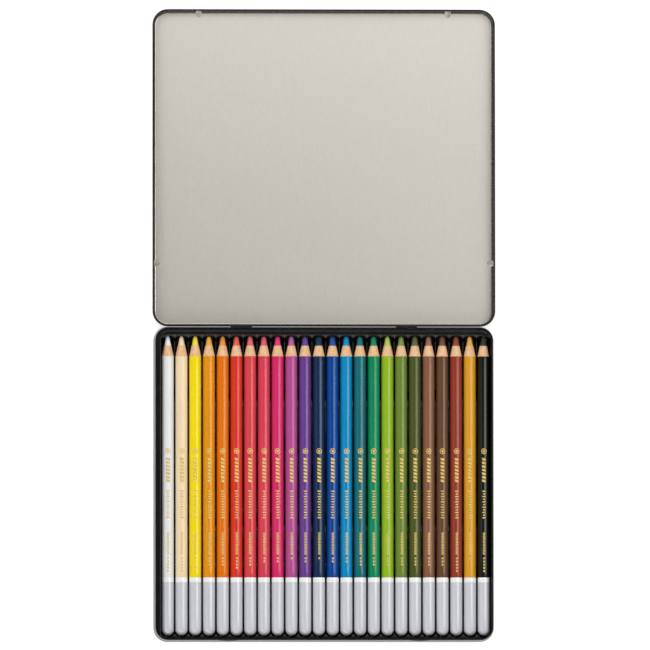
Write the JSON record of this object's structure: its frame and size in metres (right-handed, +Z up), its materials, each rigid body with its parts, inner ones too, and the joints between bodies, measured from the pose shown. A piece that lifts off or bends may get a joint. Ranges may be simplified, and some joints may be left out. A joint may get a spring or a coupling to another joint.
{
  "type": "pencil tin",
  "caption": "Flat hinged metal tin, lid open flat, with a moulded tray holding a row of round sharpened pastel pencils in graded colours with dipped grey ends.",
  "frame": {"origin": "centre of the base tin's underside, on the table", "axes": "+Z up; +Y from the tin's front to its hinge and on to the open lid; +X along the row of pencils, from the white one to the black one"},
  "size_m": [0.2006, 0.3702, 0.0116],
  "materials": {
    "black_lacquered_tin": "gloss",
    "bare_tinplate": "satin",
    "tray_plastic": "gloss",
    "lacquer_white": "gloss",
    "pastel_white": "matte",
    "lacquer_ivory": "gloss",
    "pastel_ivory": "matte",
    "lacquer_lemon_yellow": "gloss",
    "pastel_lemon_yellow": "matte",
    "lacquer_amber": "gloss",
    "pastel_amber": "matte",
    "lacquer_orange": "gloss",
    "pastel_orange": "matte",
    "lacquer_scarlet": "gloss",
    "pastel_scarlet": "matte",
    "lacquer_coral_red": "gloss",
    "pastel_coral_red": "matte",
    "lacquer_rose_red": "gloss",
    "pastel_rose_red": "matte",
    "lacquer_magenta": "gloss",
    "pastel_magenta": "matte",
    "lacquer_orchid": "gloss",
    "pastel_orchid": "matte",
    "lacquer_violet": "gloss",
    "pastel_violet": "matte",
    "lacquer_navy_blue": "gloss",
    "pastel_navy_blue": "matte",
    "lacquer_ultramarine": "gloss",
    "pastel_ultramarine": "matte",
    "lacquer_sky_blue": "gloss",
    "pastel_sky_blue": "matte",
    "lacquer_teal": "gloss",
    "pastel_teal": "matte",
    "lacquer_emerald": "gloss",
    "pastel_emerald": "matte",
    "lacquer_lime_green": "gloss",
    "pastel_lime_green": "matte",
    "lacquer_leaf_green": "gloss",
    "pastel_leaf_green": "matte",
    "lacquer_olive": "gloss",
    "pastel_olive": "matte",
    "lacquer_sienna": "gloss",
    "pastel_sienna": "matte",
    "lacquer_umber": "gloss",
    "pastel_umber": "matte",
    "lacquer_rust_red": "gloss",
    "pastel_rust_red": "matte",
    "lacquer_ochre": "gloss",
    "pastel_ochre": "matte",
    "lacquer_black": "gloss",
    "pastel_black": "matte"
  },
  "bodies": {
    "base": {"base_tin": "black_lacquered_tin"},
    "lid": {"lid_tin": "bare_tinplate"},
    "tray": {"pencil_tray": "tray_plastic"},
    "pencil_01_white": {"pencil_01_white_casing": "lacquer_white", "pencil_01_white_core": "pastel_white"},
    "pencil_02_ivory": {"pencil_02_ivory_casing": "lacquer_ivory", "pencil_02_ivory_core": "pastel_ivory"},
    "pencil_03_lemon_yellow": {"pencil_03_lemon_yellow_casing": "lacquer_lemon_yellow", "pencil_03_lemon_yellow_core": "pastel_lemon_yellow"},
    "pencil_04_amber": {"pencil_04_amber_casing": "lacquer_amber", "pencil_04_amber_core": "pastel_amber"},
    "pencil_05_orange": {"pencil_05_orange_casing": "lacquer_orange", "pencil_05_orange_core": "pastel_orange"},
    "pencil_06_scarlet": {"pencil_06_scarlet_casing": "lacquer_scarlet", "pencil_06_scarlet_core": "pastel_scarlet"},
    "pencil_07_coral_red": {"pencil_07_coral_red_casing": "lacquer_coral_red", "pencil_07_coral_red_core": "pastel_coral_red"},
    "pencil_08_rose_red": {"pencil_08_rose_red_casing": "lacquer_rose_red", "pencil_08_rose_red_core": "pastel_rose_red"},
    "pencil_09_magenta": {"pencil_09_magenta_casing": "lacquer_magenta", "pencil_09_magenta_core": "pastel_magenta"},
    "pencil_10_orchid": {"pencil_10_orchid_casing": "lacquer_orchid", "pencil_10_orchid_core": "pastel_orchid"},
    "pencil_11_violet": {"pencil_11_violet_casing": "lacquer_violet", "pencil_11_violet_core": "pastel_violet"},
    "pencil_12_navy_blue": {"pencil_12_navy_blue_casing": "lacquer_navy_blue", "pencil_12_navy_blue_core": "pastel_navy_blue"},
    "pencil_13_ultramarine": {"pencil_13_ultramarine_casing": "lacquer_ultramarine", "pencil_13_ultramarine_core": "pastel_ultramarine"},
    "pencil_14_sky_blue": {"pencil_14_sky_blue_casing": "lacquer_sky_blue", "pencil_14_sky_blue_core": "pastel_sky_blue"},
    "pencil_15_teal": {"pencil_15_teal_casing": "lacquer_teal", "pencil_15_teal_core": "pastel_teal"},
    "pencil_16_emerald": {"pencil_16_emerald_casing": "lacquer_emerald", "pencil_16_emerald_core": "pastel_emerald"},
    "pencil_17_lime_green": {"pencil_17_lime_green_casing": "lacquer_lime_green", "pencil_17_lime_green_core": "pastel_lime_green"},
    "pencil_18_leaf_green": {"pencil_18_leaf_green_casing": "lacquer_leaf_green", "pencil_18_leaf_green_core": "pastel_leaf_green"},
    "pencil_19_olive": {"pencil_19_olive_casing": "lacquer_olive", "pencil_19_olive_core": "pastel_olive"},
    "pencil_20_sienna": {"pencil_20_sienna_casing": "lacquer_sienna", "pencil_20_sienna_core": "pastel_sienna"},
    "pencil_21_umber": {"pencil_21_umber_casing": "lacquer_umber", "pencil_21_umber_core": "pastel_umber"},
    "pencil_22_rust_red": {"pencil_22_rust_red_casing": "lacquer_rust_red", "pencil_22_rust_red_core": "pastel_rust_red"},
    "pencil_23_ochre": {"pencil_23_ochre_casing": "lacquer_ochre", "pencil_23_ochre_core": "pastel_ochre"},
    "pencil_24_black": {"pencil_24_black_casing": "lacquer_black", "pencil_24_black_core": "pastel_black"}
  },
  "joints": [
    {"name": "lid_hinge", "type": "hinge", "parent": "base", "child": "lid", "pos_m": [0, 0.09249, 0.00746], "axis": [-1, 0, 0], "range_deg": [-180, 0]},
    {"name": "tray_lift", "type": "slide", "parent": "base", "child": "tray", "axis": [0, 0, 1], "range_m": [0, 0.03]},
    {"name": "pencil_01_white_lift", "type": "slide", "parent": "tray", "child": "pencil_01_white", "axis": [0, 0, 1], "range_m": [0, 0.04]},
    {"name": "pencil_02_ivory_lift", "type": "slide", "parent": "tray", "child": "pencil_02_ivory", "axis": [0, 0, 1], "range_m": [0, 0.04]},
    {"name": "pencil_03_lemon_yellow_lift", "type": "slide", "parent": "tray", "child": "pencil_03_lemon_yellow", "axis": [0, 0, 1], "range_m": [0, 0.04]},
    {"name": "pencil_04_amber_lift", "type": "slide", "parent": "tray", "child": "pencil_04_amber", "axis": [0, 0, 1], "range_m": [0, 0.04]},
    {"name": "pencil_05_orange_lift", "type": "slide", "parent": "tray", "child": "pencil_05_orange", "axis": [0, 0, 1], "range_m": [0, 0.04]},
    {"name": "pencil_06_scarlet_lift", "type": "slide", "parent": "tray", "child": "pencil_06_scarlet", "axis": [0, 0, 1], "range_m": [0, 0.04]},
    {"name": "pencil_07_coral_red_lift", "type": "slide", "parent": "tray", "child": "pencil_07_coral_red", "axis": [0, 0, 1], "range_m": [0, 0.04]},
    {"name": "pencil_08_rose_red_lift", "type": "slide", "parent": "tray", "child": "pencil_08_rose_red", "axis": [0, 0, 1], "range_m": [0, 0.04]},
    {"name": "pencil_09_magenta_lift", "type": "slide", "parent": "tray", "child": "pencil_09_magenta", "axis": [0, 0, 1], "range_m": [0, 0.04]},
    {"name": "pencil_10_orchid_lift", "type": "slide", "parent": "tray", "child": "pencil_10_orchid", "axis": [0, 0, 1], "range_m": [0, 0.04]},
    {"name": "pencil_11_violet_lift", "type": "slide", "parent": "tray", "child": "pencil_11_violet", "axis": [0, 0, 1], "range_m": [0, 0.04]},
    {"name": "pencil_12_navy_blue_lift", "type": "slide", "parent": "tray", "child": "pencil_12_navy_blue", "axis": [0, 0, 1], "range_m": [0, 0.04]},
    {"name": "pencil_13_ultramarine_lift", "type": "slide", "parent": "tray", "child": "pencil_13_ultramarine", "axis": [0, 0, 1], "range_m": [0, 0.04]},
    {"name": "pencil_14_sky_blue_lift", "type": "slide", "parent": "tray", "child": "pencil_14_sky_blue", "axis": [0, 0, 1], "range_m": [0, 0.04]},
    {"name": "pencil_15_teal_lift", "type": "slide", "parent": "tray", "child": "pencil_15_teal", "axis": [0, 0, 1], "range_m": [0, 0.04]},
    {"name": "pencil_16_emerald_lift", "type": "slide", "parent": "tray", "child": "pencil_16_emerald", "axis": [0, 0, 1], "range_m": [0, 0.04]},
    {"name": "pencil_17_lime_green_lift", "type": "slide", "parent": "tray", "child": "pencil_17_lime_green", "axis": [0, 0, 1], "range_m": [0, 0.04]},
    {"name": "pencil_18_leaf_green_lift", "type": "slide", "parent": "tray", "child": "pencil_18_leaf_green", "axis": [0, 0, 1], "range_m": [0, 0.04]},
    {"name": "pencil_19_olive_lift", "type": "slide", "parent": "tray", "child": "pencil_19_olive", "axis": [0, 0, 1], "range_m": [0, 0.04]},
    {"name": "pencil_20_sienna_lift", "type": "slide", "parent": "tray", "child": "pencil_20_sienna", "axis": [0, 0, 1], "range_m": [0, 0.04]},
    {"name": "pencil_21_umber_lift", "type": "slide", "parent": "tray", "child": "pencil_21_umber", "axis": [0, 0, 1], "range_m": [0, 0.04]},
    {"name": "pencil_22_rust_red_lift", "type": "slide", "parent": "tray", "child": "pencil_22_rust_red", "axis": [0, 0, 1], "range_m": [0, 0.04]},
    {"name": "pencil_23_ochre_lift", "type": "slide", "parent": "tray", "child": "pencil_23_ochre", "axis": [0, 0, 1], "range_m": [0, 0.04]},
    {"name": "pencil_24_black_lift", "type": "slide", "parent": "tray", "child": "pencil_24_black", "axis": [0, 0, 1], "range_m": [0, 0.04]}
  ]
}
